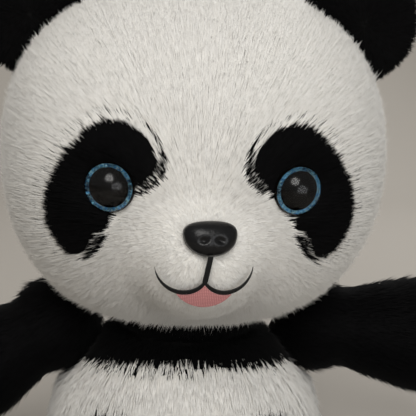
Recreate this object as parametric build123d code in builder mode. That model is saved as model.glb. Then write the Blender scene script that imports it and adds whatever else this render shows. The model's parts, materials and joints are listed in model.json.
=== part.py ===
"""Seated plush panda: sewn covers, stuffing, safety eyes, nose and stitched mouth.

Millimetres, +Z up. The panda faces -Y and its own left side is +X.
The origin is the centre of the flat seat that it sits on.
Cover surfaces lie at the middle of the pile, so fur stands a few millimetres proud of them.
"""
import os
from math import cos, radians, sin, sqrt

from build123d import *

os.makedirs("parts", exist_ok=True)

# ---------------------------------------------------------------- driving sizes
LEFT = 1
RIGHT = -1
SIDE_NAMES = {LEFT: "left", RIGHT: "right"}
OVER_THE_FACE = (1, 0, 0)       # turning this way from the crown goes down the face
OVER_THE_BACK = (-1, 0, 0)      # turning this way from the crown goes down the back

COVER = 5.0             # backing cloth plus the half of the pile that packs down
BACKING = 1.2           # backing cloth alone, where a stem passes through it
EASE = 1.0              # gap between a cover and the stuffing in it
JOINT_GAP = 1.5         # gap between two bodies round a ball-shaped joint
STUFFING_DEPTH = COVER + EASE

# head: a form turned about its left-right axis
HEAD_CENTRE = Vector(0, -12, 197.5)
HEAD_HALF_WIDTH = 96
HEAD_RADIUS = 88
CHEEK_FULLNESS = 2.45   # superellipse exponent, 2 would be a plain ellipsoid

# muzzle: a form turned about a front-back axis
MUZZLE_CENTRE = Vector(0, -66, 163)
MUZZLE_RADIUS = 36
MUZZLE_DEPTH = 43

# safety eyes
EYE_DIAMETER = 22
EYE_SPACING = 82
EYE_HEIGHT = 192.3
EYE_DOME = 8.0
PUPIL_DIAMETER = 17.5
PUPIL_DOME = 5.0
RING_DIAMETER = 20.6
RING_THICKNESS = 0.6
EYE_BASE = 1.6
STEM_DIAMETER = 4.6
STEM_LENGTH = 15
STEM_RIDGES = 4
WASHER_DIAMETER = 18
WASHER_THICKNESS = 1.5
POCKET_PLAY = 0.3

# nose, mouth and tongue
NOSE_WIDTH = 22.5
NOSE_HEIGHT = 15
NOSE_THICKNESS = 7.5
NOSE_RIM_RADIUS = 1.0
NOSE_X = 2.2            # the nose sits a little to the panda's left
NOSE_Z = 175.5
PHILTRUM_TOP = 168
MOUTH_CENTRE_Z = 156
MOUTH_CORNER = (20.8, 161)
MOUTH_DIP = (8.8, 149.8)
THREAD_WIDTH = 2.2
THREAD_HEIGHT = 1.2
TONGUE_HALF_WIDTH = 11.5
TONGUE_TIP_Z = 144
TONGUE_THICKNESS = 1.8

# ears
EAR_WIDTH = 58
EAR_HEIGHT = 27         # from the hinge line to the tip
EAR_THICKNESS = 15
EAR_SKIN = 4.0
EAR_SPREAD = 74         # middle of an ear's base, out from the centre of the head
EAR_TILT = 15           # how far the ears lean forward from the crown
EAR_STAND_OFF = 8.5     # hinge line above the head cover

# torso: elliptical sections as (height, half width, half depth)
TORSO_SECTIONS = (
    (0, 50, 42),
    (12, 67, 55),
    (35, 78, 62),
    (56, 76, 61),
    (76, 67, 56),
    (90, 56, 50),
    (101, 43, 38),
)
TORSO_TOP = TORSO_SECTIONS[-1][0]
YOKE_SEAM_Z = 92        # black yoke above, white belly below
YOKE_SEAM_DROP = 17     # how far the seam falls to the sides
SIDE_SEAM_Y = 6

# neck: a ball of wadding that the head turns and nods on
NECK = Vector(0, -2, 111)
NECK_BALL = 24

# arms
SHOULDER = Vector(73, 10, 97)
ARM_ROOT = 26
ARM_LENGTH = 98
ARM_RADIUS = 32
ARM_WAIST_ANGLE = 30    # how far round its ball root a limb narrows before it fills out
ARM_TIP_RADIUS = 9
ARM_FORWARD = 8
ARM_DROP = {LEFT: 3, RIGHT: 28}    # how far each arm hangs below level

# legs
HIP = Vector(38, -44, 36)
LEG_ROOT = 29
LEG_LENGTH = 84
LEG_RADIUS = 32
LEG_WAIST_ANGLE = 33
LEG_SPLAY = 15
SOLE_RADIUS = 24

# tail
TAIL_ROOT = Vector(0, 60, 33)
TAIL_RADIUS = 12
TAIL_TIP_RADIUS = 14
TAIL_REACH = 16


def save(builder, name):
    """Label a finished piece and write it."""
    builder.part.label = name
    export_step(builder.part, f"parts/{name}.step")


# ---------------------------------------------------------------- body forms
def head_profile(side, inset):
    """The upper quarter of the head's outline on one side of the axis it is turned about."""
    half_width = HEAD_HALF_WIDTH - inset
    radius = HEAD_RADIUS - inset
    diagonal = cos(radians(45)) ** (2 / CHEEK_FULLNESS)
    with BuildSketch(Plane(HEAD_CENTRE, x_dir=(1, 0, 0), z_dir=(0, -1, 0))) as quarter:
        with BuildLine():
            crown = Spline(
                (0, radius),
                (side * diagonal * half_width, diagonal * radius),
                (side * half_width, 0),
                tangents=((side, 0), (0, -1)),
            )
            Polyline(crown @ 1, (0, 0), crown @ 0)
        make_face()
    return quarter.sketch


def head_form(inset):
    """The whole head, drawn in by inset all round."""
    with BuildPart() as form:
        for side in SIDE_NAMES:
            revolve(head_profile(side, inset), axis=Axis(HEAD_CENTRE, (1, 0, 0)))
    return form.part


def head_shell(axis_direction, sides):
    """Half of the head cover, swept from the crown to the chin round the axis direction."""
    with BuildPart() as shell:
        for side in sides:
            wall = head_profile(side, 0) - head_profile(side, COVER)
            revolve(wall, axis=Axis(HEAD_CENTRE, axis_direction), revolution_arc=180)
    return shell.part


def head_surface(x, z):
    """A point on the front of the head and the outward direction there."""
    power = CHEEK_FULLNESS
    rise = z - HEAD_CENTRE.Z
    radius = HEAD_RADIUS * (1 - (abs(x) / HEAD_HALF_WIDTH) ** power) ** (1 / power)
    forward = sqrt(radius ** 2 - rise ** 2)
    outward_x = (abs(x) / HEAD_HALF_WIDTH) ** (power - 1) / HEAD_HALF_WIDTH
    outward_r = (radius / HEAD_RADIUS) ** (power - 1) / HEAD_RADIUS
    side = LEFT if x > 0 else RIGHT
    normal = Vector(side * outward_x, -outward_r * forward / radius, outward_r * rise / radius)
    return Vector(x, HEAD_CENTRE.Y - forward, z), normal.normalized()


def muzzle_form(inset):
    """The muzzle bulge, drawn in by inset all round."""
    radius = MUZZLE_RADIUS - inset
    depth = MUZZLE_DEPTH - inset
    with BuildPart() as form:
        with BuildSketch(Plane(MUZZLE_CENTRE, x_dir=(1, 0, 0), z_dir=(0, 0, 1))):
            Ellipse(radius, depth)
            split(bisect_by=Plane.YZ)
        revolve(axis=Axis(MUZZLE_CENTRE, (0, 1, 0)))
    return form.part


def muzzle_surface(x, z):
    """A point on the front of the muzzle and the outward direction there."""
    rise = z - MUZZLE_CENTRE.Z
    spread = (x ** 2 + rise ** 2) / MUZZLE_RADIUS ** 2
    forward = MUZZLE_DEPTH * sqrt(1 - spread)
    normal = Vector(x / MUZZLE_RADIUS ** 2, -forward / MUZZLE_DEPTH ** 2, rise / MUZZLE_RADIUS ** 2)
    return Vector(x, MUZZLE_CENTRE.Y - forward, z), normal.normalized()


def torso_form(inset):
    """The pear-shaped body, drawn in by inset all round."""
    with BuildPart() as form:
        for height, half_width, half_depth in TORSO_SECTIONS:
            squeeze = (TORSO_TOP - 2 * inset) / TORSO_TOP
            with BuildSketch(Plane.XY.offset(inset + height * squeeze)):
                Ellipse(half_width - inset, half_depth - inset)
        loft()
    return form.part


def limb_form(plane, inset, root, waist_degrees, radius, length, end_radius):
    """A stuffed limb along the plane's Z: a ball root at the origin, a waist, then the fuller part."""
    root_radius = root - inset
    end = length - inset
    waist_angle = radians(waist_degrees)
    waist = (root_radius * cos(waist_angle), root_radius * sin(waist_angle))
    with BuildPart() as form:
        with BuildSketch(Plane(plane.origin, x_dir=plane.x_dir, z_dir=-plane.y_dir)):
            with BuildLine():
                CenterArc((0, 0), root_radius, -90, 90 + waist_degrees)
                side = Spline(
                    waist,
                    (radius - inset, 0.58 * length),
                    (end_radius, end),
                    tangents=((0.15, 1), (-1, 0)),
                )
                Polyline(side @ 1, (0, end), (0, -root_radius))
            make_face()
        revolve(axis=Axis(plane.origin, plane.z_dir))
    return form.part


def ball(centre, radius):
    """A plain ball used as a joint or as a cutter for its socket."""
    with BuildPart() as sphere:
        with Locations(centre):
            Sphere(radius)
    return sphere.part


def mirrored(point, side):
    """The point on the given side of the body."""
    return Vector(side * point.X, point.Y, point.Z)


# ---------------------------------------------------------------- limb directions
def arm_plane(side):
    """Plane at a shoulder whose Z runs down the arm."""
    drop = radians(ARM_DROP[side])
    forward = radians(ARM_FORWARD)
    level = cos(drop)
    along = Vector(side * level * cos(forward), -level * sin(forward), -sin(drop))
    across = Vector(sin(forward), side * cos(forward), 0)
    return Plane(mirrored(SHOULDER, side), x_dir=across, z_dir=along)


def leg_plane(side):
    """Plane at a hip whose Z runs down the leg."""
    splay = radians(LEG_SPLAY)
    along = Vector(side * sin(splay), -cos(splay), 0)
    return Plane(mirrored(HIP, side), x_dir=(0, 0, 1), z_dir=along)


def arm_form(side, inset):
    return limb_form(arm_plane(side), inset, ARM_ROOT, ARM_WAIST_ANGLE, ARM_RADIUS, ARM_LENGTH, ARM_TIP_RADIUS)


def leg_form(side, inset):
    end_radius = SOLE_RADIUS - inset
    return limb_form(leg_plane(side), inset, LEG_ROOT, LEG_WAIST_ANGLE, LEG_RADIUS, LEG_LENGTH, end_radius)


def eye_plane(side):
    """Plane on the pocket floor under an eye, Z outward."""
    surface, outward = head_surface(side * EYE_SPACING / 2, EYE_HEIGHT)
    return Plane(surface - outward * (COVER - BACKING), x_dir=(0, 0, 1), z_dir=outward)


def nose_plane():
    """Plane on the pocket floor under the nose, Z outward and Y up."""
    surface, outward = muzzle_surface(NOSE_X, NOSE_Z)
    across = outward.cross(Vector(0, 0, -1))
    return Plane(surface - outward * (COVER - BACKING), x_dir=across, z_dir=outward)


# ---------------------------------------------------------------- outlines
def eye_patch_prism(side):
    """The patch outline run through the front half of the head."""
    outline = ((17, 202), (24, 215), (41, 221), (58, 208), (69, 187), (67, 168), (54, 157), (43, 168), (31, 187))
    with BuildPart() as prism:
        with BuildSketch(Plane.XZ.offset(-HEAD_CENTRE.Y)):
            with BuildLine():
                Spline([(side * x, z) for x, z in outline], periodic=True)
            make_face()
        extrude(amount=HEAD_RADIUS + COVER)
    return prism.part


def above_yoke_seam():
    """Everything above the arched seam between the black yoke and the white belly."""
    edge = TORSO_SECTIONS[2][1] + COVER
    low = YOKE_SEAM_Z - YOKE_SEAM_DROP
    with BuildPart() as block:
        with BuildSketch(Plane.XZ):
            with BuildLine():
                ThreePointArc((-edge, low), (0, YOKE_SEAM_Z), (edge, low))
                Polyline((edge, low), (edge, TORSO_TOP + COVER), (-edge, TORSO_TOP + COVER), (-edge, low))
            make_face()
        extrude(amount=edge, both=True)
    return block.part


# ---------------------------------------------------------------- sockets between bodies
NECK_SOCKET = ball(NECK, NECK_BALL + JOINT_GAP)
TAIL_SOCKET = ball(TAIL_ROOT, TAIL_RADIUS + JOINT_GAP)
ARM_SOCKETS = {side: ball(mirrored(SHOULDER, side), ARM_ROOT + JOINT_GAP) for side in SIDE_NAMES}
LEG_SOCKETS = {side: ball(mirrored(HIP, side), LEG_ROOT + JOINT_GAP) for side in SIDE_NAMES}
TORSO_SOCKETS = [NECK_SOCKET, TAIL_SOCKET, *ARM_SOCKETS.values(), *LEG_SOCKETS.values()]


def pocket(plane, diameter, depth_below):
    """A round pocket from the outside down to depth_below under the plane."""
    with BuildPart() as hole:
        with BuildSketch(plane.offset(-depth_below)):
            Circle(diameter / 2)
        extrude(amount=depth_below + 2 * COVER)
    return hole.part


def stem_hole(plane):
    """The hole for a stem through the cloth, with room for the washer behind it."""
    with BuildPart() as hole:
        with BuildSketch(plane):
            Circle((STEM_DIAMETER + POCKET_PLAY) / 2)
        extrude(amount=-BACKING)
        with BuildSketch(plane.offset(-BACKING)):
            Circle(WASHER_DIAMETER / 2 + POCKET_PLAY)
        extrude(amount=-2 * COVER)
    return hole.part


# ---------------------------------------------------------------- head covers
EYE_POCKETS = {side: pocket(eye_plane(side), EYE_DIAMETER + 2 * POCKET_PLAY, 0) for side in SIDE_NAMES}
PATCHES = {side: eye_patch_prism(side) for side in SIDE_NAMES}


def make_head_front_panel():
    with BuildPart() as head_front_panel:
        add(head_shell(OVER_THE_FACE, SIDE_NAMES))
        add(muzzle_form(0), mode=Mode.SUBTRACT)
        add(NECK_SOCKET, mode=Mode.SUBTRACT)
        for side in SIDE_NAMES:
            add(PATCHES[side], mode=Mode.SUBTRACT)
            add(EYE_POCKETS[side], mode=Mode.SUBTRACT)
    save(head_front_panel, "head_front_panel")


def make_head_back_panels():
    for side, word in SIDE_NAMES.items():
        with BuildPart() as head_back_panel:
            add(head_shell(OVER_THE_BACK, (side,)))
            add(NECK_SOCKET, mode=Mode.SUBTRACT)
        save(head_back_panel, f"head_back_{word}_panel")


def make_muzzle_panel():
    with BuildPart() as muzzle_panel:
        add(muzzle_form(0))
        add(muzzle_form(COVER), mode=Mode.SUBTRACT)
        add(head_form(COVER), mode=Mode.SUBTRACT)
        add(stem_hole(nose_plane()), mode=Mode.SUBTRACT)
        add(nose_outline_prism(POCKET_PLAY, NOSE_THICKNESS), mode=Mode.SUBTRACT)
    save(muzzle_panel, "muzzle_panel")


def make_eye_patches():
    for side, word in SIDE_NAMES.items():
        with BuildPart() as eye_patch:
            add(head_shell(OVER_THE_FACE, (side,)))
            add(PATCHES[side], mode=Mode.INTERSECT)
            add(muzzle_form(0), mode=Mode.SUBTRACT)
            add(EYE_POCKETS[side], mode=Mode.SUBTRACT)
            add(stem_hole(eye_plane(side)), mode=Mode.SUBTRACT)
        save(eye_patch, f"{word}_eye_patch")


def make_head_stuffing():
    room = WASHER_DIAMETER + 2 * EASE
    with BuildPart() as head_stuffing:
        add(head_form(STUFFING_DEPTH))
        add(muzzle_form(STUFFING_DEPTH))
        add(NECK_SOCKET, mode=Mode.SUBTRACT)
        for side in SIDE_NAMES:
            add(pocket(eye_plane(side), room, STEM_LENGTH + EASE), mode=Mode.SUBTRACT)
        add(pocket(nose_plane(), room, STEM_LENGTH + EASE), mode=Mode.SUBTRACT)
    save(head_stuffing, "head_stuffing")


# ---------------------------------------------------------------- safety eyes and nose
def dome(plane, diameter, height):
    """A ball segment standing on the plane."""
    base_radius = diameter / 2
    sphere_radius = (base_radius ** 2 + height ** 2) / (2 * height)
    with BuildPart() as cap:
        with BuildSketch(Plane(plane.origin, x_dir=plane.x_dir, z_dir=-plane.y_dir)):
            with BuildLine():
                rim_line = Line((0, 0), (base_radius, 0))
                RadiusArc(rim_line @ 1, (0, height), -sphere_radius)
                Line((0, height), (0, 0))
            make_face()
        revolve(axis=Axis(plane.origin, plane.z_dir))
    return cap.part


def ridged_stem(plane):
    """The stem that goes through the cloth, with ridges that hold the washer."""
    first_ridge = BACKING + WASHER_THICKNESS + EASE
    pitch = (STEM_LENGTH - first_ridge) / STEM_RIDGES
    with BuildPart() as stem:
        with BuildSketch(plane):
            Circle(STEM_DIAMETER / 2)
        extrude(amount=-STEM_LENGTH)
        for number in range(STEM_RIDGES):
            with BuildSketch(plane.offset(-first_ridge - number * pitch)):
                Circle(STEM_DIAMETER / 2 + POCKET_PLAY)
            extrude(amount=-pitch / 2)
    return stem.part


def make_washer(plane, name):
    """The push-on washer behind the cloth."""
    with BuildPart() as washer:
        with BuildSketch(plane.offset(-BACKING)):
            Circle(WASHER_DIAMETER / 2)
            Circle(STEM_DIAMETER / 2, mode=Mode.SUBTRACT)
        extrude(amount=-WASHER_THICKNESS)
    save(washer, name)


def make_eye(side):
    word = SIDE_NAMES[side]
    floor = eye_plane(side)
    on_base = floor.offset(EYE_BASE)
    with BuildPart() as backing:
        with BuildSketch(floor):
            Circle(EYE_DIAMETER / 2)
        extrude(amount=EYE_BASE)
        add(ridged_stem(floor))
    save(backing, f"{word}_eye_backing")
    with BuildPart() as ring:
        with BuildSketch(on_base):
            Circle(RING_DIAMETER / 2)
            Circle(PUPIL_DIAMETER / 2, mode=Mode.SUBTRACT)
        extrude(amount=RING_THICKNESS)
    save(ring, f"{word}_eye_glitter_ring")
    with BuildPart() as pupil:
        add(dome(on_base, PUPIL_DIAMETER, PUPIL_DOME))
    save(pupil, f"{word}_eye_pupil")
    with BuildPart() as lens:
        add(dome(on_base, EYE_DIAMETER, EYE_DOME))
        add(pupil.part, mode=Mode.SUBTRACT)
        add(ring.part, mode=Mode.SUBTRACT)
    save(lens, f"{word}_eye_lens")
    make_washer(floor, f"{word}_eye_washer")


def nose_outline_prism(play, height):
    """The rounded-triangle nose outline, grown by play, from the pocket floor outward."""
    half = NOSE_WIDTH / 2 + play
    top = NOSE_HEIGHT * 0.42 + play
    bottom = NOSE_HEIGHT * 0.58 + play
    with BuildPart() as prism:
        with BuildSketch(nose_plane()):
            with BuildLine():
                right_side = Spline(
                    (0, top),
                    (0.62 * half, 0.9 * top),
                    (half, 0.1 * top),
                    (0.5 * half, -0.68 * bottom),
                    (0, -bottom),
                    tangents=((1, 0), (-1, 0)),
                )
                mirror(right_side, about=Plane.YZ)
            make_face()
        extrude(amount=height)
    return prism.part


def make_nose():
    plane = nose_plane()
    with BuildPart() as nose_button:
        add(nose_outline_prism(0, NOSE_THICKNESS))
        add(dome(plane, 1.4 * NOSE_WIDTH, NOSE_THICKNESS), mode=Mode.INTERSECT)
        crown = nose_button.faces().sort_by(Axis(plane.origin, plane.z_dir))[-1]
        fillet(crown.edges(), NOSE_RIM_RADIUS)
        for side in SIDE_NAMES:
            nostril = plane.offset(NOSE_THICKNESS + 0.6)
            with Locations(nostril.from_local_coords((side * 3.4, -1.6, 0))):
                Sphere(1.7, mode=Mode.SUBTRACT)
        add(ridged_stem(plane))
    save(nose_button, "nose_button")
    make_washer(plane, "nose_washer")


# ---------------------------------------------------------------- stitched mouth and tongue
def lower_lip_edge(side):
    """The lower edge of half of the mouth line, from the middle out to the corner."""
    middle = (0, MOUTH_CENTRE_Z - THREAD_WIDTH / 2)
    dip = (side * MOUTH_DIP[0], MOUTH_DIP[1])
    corner = (side * MOUTH_CORNER[0], MOUTH_CORNER[1])
    return middle, dip, corner


def lip(side):
    """Half of the mouth line: a crescent, thick at the middle and thin at the corner."""
    middle, dip, corner = lower_lip_edge(side)
    upper_middle = (0, MOUTH_CENTRE_Z + THREAD_WIDTH / 2)
    upper_dip = (dip[0], dip[1] + 0.8 * THREAD_WIDTH)
    with BuildSketch() as crescent:
        with BuildLine():
            ThreePointArc(middle, dip, corner)
            ThreePointArc(corner, upper_dip, upper_middle)
            Line(upper_middle, middle)
        make_face()
    return crescent.sketch


def philtrum():
    """The stitched line from the middle of the mouth up to the nose."""
    half = THREAD_WIDTH / 2
    with BuildSketch() as line:
        with BuildLine():
            Polyline(
                (-half, MOUTH_CENTRE_Z),
                (half, MOUTH_CENTRE_Z),
                (NOSE_X + half, PHILTRUM_TOP),
                (NOSE_X - half, PHILTRUM_TOP),
                close=True,
            )
        make_face()
    return line.sketch


def above_mouth_line():
    """Everything above the lower edge of the mouth line."""
    with BuildSketch() as region:
        with BuildLine():
            left_edge = ThreePointArc(*lower_lip_edge(LEFT))
            right_edge = ThreePointArc(*lower_lip_edge(RIGHT))
            Polyline(left_edge @ 1, (MOUTH_CORNER[0], NOSE_Z), (-MOUTH_CORNER[0], NOSE_Z), right_edge @ 1)
        make_face()
    return region.sketch


def make_mouth():
    with BuildPart() as mouth_embroidery:
        with BuildSketch(Plane.XZ.offset(-MUZZLE_CENTRE.Y)):
            add(lip(LEFT))
            add(lip(RIGHT))
            add(philtrum())
        extrude(amount=MUZZLE_DEPTH + 2 * COVER)
        add(muzzle_form(-THREAD_HEIGHT), mode=Mode.INTERSECT)
        add(muzzle_form(0), mode=Mode.SUBTRACT)
        add(nose_outline_prism(POCKET_PLAY, NOSE_THICKNESS), mode=Mode.SUBTRACT)
    save(mouth_embroidery, "mouth_embroidery")


def make_tongue():
    side_z = MOUTH_DIP[1]
    with BuildPart() as tongue_applique:
        with BuildSketch(Plane.XZ.offset(-MUZZLE_CENTRE.Y)):
            with BuildLine():
                ThreePointArc((-TONGUE_HALF_WIDTH, side_z), (0, TONGUE_TIP_Z), (TONGUE_HALF_WIDTH, side_z))
                Polyline(
                    (TONGUE_HALF_WIDTH, side_z),
                    (TONGUE_HALF_WIDTH, MOUTH_CENTRE_Z),
                    (-TONGUE_HALF_WIDTH, MOUTH_CENTRE_Z),
                    (-TONGUE_HALF_WIDTH, side_z),
                )
            make_face()
            add(above_mouth_line(), mode=Mode.SUBTRACT)
        extrude(amount=MUZZLE_DEPTH + 2 * COVER)
        add(muzzle_form(-TONGUE_THICKNESS), mode=Mode.INTERSECT)
        add(muzzle_form(0), mode=Mode.SUBTRACT)
    save(tongue_applique, "tongue_applique")


# ---------------------------------------------------------------- ears
def ear_plane(side):
    """Plane at the middle of an ear's hinge line: X along the hinge, Z to the front."""
    power = CHEEK_FULLNESS
    across = EAR_SPREAD / HEAD_HALF_WIDTH
    up = (1 - across ** power) ** (1 / power)
    upright = Plane(HEAD_CENTRE, x_dir=(1, 0, 0), z_dir=(0, -1, 0)).rotated((EAR_TILT, 0, 0))
    base = upright.from_local_coords((side * EAR_SPREAD, up * HEAD_RADIUS, 0))
    outward = Vector(side * across ** (power - 1) / HEAD_HALF_WIDTH, up ** (power - 1) / HEAD_RADIUS, 0).normalized()
    hinge_middle = upright.from_local_coords(Vector(outward.X, outward.Y, 0) * EAR_STAND_OFF) - HEAD_CENTRE + base
    hinge_line = upright.from_local_coords((outward.Y, -outward.X, 0)) - HEAD_CENTRE
    return Plane(hinge_middle, x_dir=hinge_line, z_dir=upright.z_dir)


def ear_form(side, inset):
    """A half-round ear whose lower edge is round about the hinge line."""
    plane = ear_plane(side)
    half_width = EAR_WIDTH / 2 - inset
    half_thickness = EAR_THICKNESS / 2 - inset
    tip = EAR_HEIGHT - inset
    with BuildPart() as form:
        with BuildSketch(plane):
            with BuildLine():
                Line((-half_width, -half_thickness), (half_width, -half_thickness))
                Line((half_width, -half_thickness), (half_width, 0))
                ThreePointArc((half_width, 0), (0, tip), (-half_width, 0))
                Line((-half_width, 0), (-half_width, -half_thickness))
            make_face()
        extrude(amount=half_thickness, both=True)
        fillet(form.edges().filter_by(GeomType.CIRCLE), half_thickness * 0.9)
        bottom = form.edges().filter_by(Axis((0, 0, 0), plane.x_dir))
        fillet(bottom, half_thickness * 0.9)
    return form.part


def make_ear(side):
    word = SIDE_NAMES[side]
    plane = ear_plane(side)
    for half, keep in (("front", Keep.TOP), ("back", Keep.BOTTOM)):
        with BuildPart() as ear_half:
            add(ear_form(side, 0))
            add(ear_form(side, EAR_SKIN), mode=Mode.SUBTRACT)
            split(bisect_by=plane, keep=keep)
        save(ear_half, f"{word}_ear_{half}")
    with BuildPart() as wadding:
        add(ear_form(side, EAR_SKIN + EASE / 2))
    save(wadding, f"{word}_ear_wadding")


# ---------------------------------------------------------------- torso
def cut_torso_sockets():
    for socket in TORSO_SOCKETS:
        add(socket, mode=Mode.SUBTRACT)


def start_torso_cover():
    """The torso cover above the seat panel, still in one piece."""
    add(torso_form(0))
    add(torso_form(COVER), mode=Mode.SUBTRACT)
    split(bisect_by=Plane.XY.offset(COVER), keep=Keep.TOP)


def make_yoke_panels():
    for half, keep in (("front", Keep.TOP), ("back", Keep.BOTTOM)):
        with BuildPart() as yoke_panel:
            start_torso_cover()
            add(above_yoke_seam(), mode=Mode.INTERSECT)
            split(bisect_by=Plane.XZ.offset(-SIDE_SEAM_Y), keep=keep)
            cut_torso_sockets()
        save(yoke_panel, f"yoke_{half}_panel")


def make_belly_panel():
    with BuildPart() as belly_panel:
        start_torso_cover()
        add(above_yoke_seam(), mode=Mode.SUBTRACT)
        split(bisect_by=Plane.XZ.offset(-SIDE_SEAM_Y), keep=Keep.TOP)
        cut_torso_sockets()
    save(belly_panel, "belly_panel")


def make_back_panels():
    for side, keep in ((LEFT, Keep.TOP), (RIGHT, Keep.BOTTOM)):
        with BuildPart() as back_panel:
            start_torso_cover()
            add(above_yoke_seam(), mode=Mode.SUBTRACT)
            split(bisect_by=Plane.XZ.offset(-SIDE_SEAM_Y), keep=Keep.BOTTOM)
            split(bisect_by=Plane.YZ, keep=keep)
            cut_torso_sockets()
        save(back_panel, f"back_{SIDE_NAMES[side]}_panel")


def make_seat_panel():
    with BuildPart() as seat_panel:
        add(torso_form(0))
        split(bisect_by=Plane.XY.offset(COVER), keep=Keep.BOTTOM)
        cut_torso_sockets()
    save(seat_panel, "seat_panel")


def make_body_stuffing():
    with BuildPart() as body_stuffing:
        add(torso_form(STUFFING_DEPTH))
        cut_torso_sockets()
    save(body_stuffing, "body_stuffing")


def make_neck_stuffing():
    with BuildPart() as neck_stuffing:
        add(ball(NECK, NECK_BALL))
    save(neck_stuffing, "neck_stuffing")


# ---------------------------------------------------------------- arms, legs, tail
def make_arm(side):
    word = SIDE_NAMES[side]
    plane = arm_plane(side)
    for half, keep in (("front", Keep.TOP), ("back", Keep.BOTTOM)):
        with BuildPart() as arm_panel:
            add(arm_form(side, 0))
            add(arm_form(side, COVER), mode=Mode.SUBTRACT)
            facing = Plane(plane.origin, x_dir=plane.z_dir, z_dir=-plane.x_dir * side)
            split(bisect_by=facing, keep=keep)
        save(arm_panel, f"{word}_arm_{half}_panel")
    with BuildPart() as arm_stuffing:
        add(arm_form(side, STUFFING_DEPTH))
    save(arm_stuffing, f"{word}_arm_stuffing")


def make_leg(side):
    word = SIDE_NAMES[side]
    plane = leg_plane(side)
    sole_seam = plane.offset(LEG_LENGTH - COVER)
    for half, keep in (("top", Keep.TOP), ("under", Keep.BOTTOM)):
        with BuildPart() as leg_panel:
            add(leg_form(side, 0))
            add(leg_form(side, COVER), mode=Mode.SUBTRACT)
            split(bisect_by=Plane.XY.offset(HIP.Z), keep=keep)
            split(bisect_by=sole_seam, keep=Keep.BOTTOM)
        save(leg_panel, f"{word}_leg_{half}_panel")
    with BuildPart() as sole_pad:
        add(leg_form(side, 0))
        split(bisect_by=sole_seam, keep=Keep.TOP)
    save(sole_pad, f"{word}_sole_pad")
    with BuildPart() as leg_stuffing:
        add(leg_form(side, STUFFING_DEPTH))
    save(leg_stuffing, f"{word}_leg_stuffing")


def tail_form(inset):
    """A short round tail: a ball root with a slightly larger ball behind it."""
    with BuildPart() as form:
        with Locations(TAIL_ROOT):
            Sphere(TAIL_RADIUS - inset)
        with Locations(TAIL_ROOT + Vector(0, TAIL_REACH, 0)):
            Sphere(TAIL_TIP_RADIUS - inset)
    return form.part


def make_tail():
    with BuildPart() as tail_cover:
        add(tail_form(0))
        add(tail_form(EAR_SKIN), mode=Mode.SUBTRACT)
    save(tail_cover, "tail_cover")
    with BuildPart() as tail_stuffing:
        add(tail_form(EAR_SKIN + EASE / 2))
    save(tail_stuffing, "tail_stuffing")


# ---------------------------------------------------------------- build everything
make_head_front_panel()
make_head_back_panels()
make_muzzle_panel()
make_eye_patches()
make_head_stuffing()
for body_side in SIDE_NAMES:
    make_eye(body_side)
    make_ear(body_side)
    make_arm(body_side)
    make_leg(body_side)
make_nose()
make_mouth()
make_tongue()
make_yoke_panels()
make_belly_panel()
make_back_panels()
make_seat_panel()
make_body_stuffing()
make_neck_stuffing()
make_tail()
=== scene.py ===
"""Looks of the seated plush panda: swollen skins, combed fur, eyes, nose, stitched mouth, light and camera.

Lengths are written as millimetres times MM, because Blender works in metres. Colours are linear.
"""
import json
import math

import bmesh
import bpy
import numpy as np
from mathutils import Matrix, Vector, kdtree
from mathutils.bvhtree import BVHTree


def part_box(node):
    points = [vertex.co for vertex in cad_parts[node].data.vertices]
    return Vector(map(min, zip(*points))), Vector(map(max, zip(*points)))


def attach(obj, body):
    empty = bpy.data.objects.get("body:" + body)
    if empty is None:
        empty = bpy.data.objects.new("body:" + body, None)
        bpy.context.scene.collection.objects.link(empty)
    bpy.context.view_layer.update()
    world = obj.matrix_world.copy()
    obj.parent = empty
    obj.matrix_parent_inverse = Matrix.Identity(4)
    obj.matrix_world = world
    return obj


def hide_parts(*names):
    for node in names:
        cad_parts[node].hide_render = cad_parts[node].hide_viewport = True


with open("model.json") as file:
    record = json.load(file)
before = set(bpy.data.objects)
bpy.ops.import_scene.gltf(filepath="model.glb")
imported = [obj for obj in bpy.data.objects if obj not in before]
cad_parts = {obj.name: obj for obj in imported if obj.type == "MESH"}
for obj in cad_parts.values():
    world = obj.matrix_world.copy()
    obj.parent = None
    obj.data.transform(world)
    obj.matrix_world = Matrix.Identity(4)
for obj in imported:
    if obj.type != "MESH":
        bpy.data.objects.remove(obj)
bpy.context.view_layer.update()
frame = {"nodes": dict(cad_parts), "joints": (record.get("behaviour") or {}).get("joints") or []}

MM = 0.001
NODES = frame["nodes"]
SIDES = ("left", "right")
random = np.random.default_rng(7)
scene = bpy.context.scene


# ---------------------------------------------------------------- places read from the frame
def unit_vector(vector):
    return vector / np.linalg.norm(vector)


def box_centre(name):
    """The middle of a CAD node's box."""
    low, high = (np.array(corner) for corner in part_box(name))
    return (low + high) / 2


def disc_pose(name, towards):
    """Centre and axis of a thin round CAD node, with the axis on the same side as towards."""
    mesh = NODES[name].data
    points = np.empty(len(mesh.vertices) * 3)
    mesh.vertices.foreach_get("co", points)
    points = points.reshape(-1, 3)
    centre = box_centre(name)
    axis = np.linalg.svd(points - points.mean(axis=0), full_matrices=False)[2][2]
    return centre, axis * np.sign(axis @ towards)


def joint_place(body):
    """Where a body's joint is."""
    for joint in frame["joints"]:
        if joint["child"] == body:
            return np.array(joint["pos_m"])
    raise ValueError(body)


HEAD_LOW, HEAD_HIGH = (np.array(corner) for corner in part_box("head_stuffing"))
HEAD_CENTRE = (HEAD_LOW + HEAD_HIGH) / 2
NOSE_CENTRE, NOSE_AXIS = disc_pose("nose_washer", np.array([0, -1, 0]))
FACE_CENTRE = np.array([0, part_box("nose_button")[0][1], NOSE_CENTRE[2]])


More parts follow.
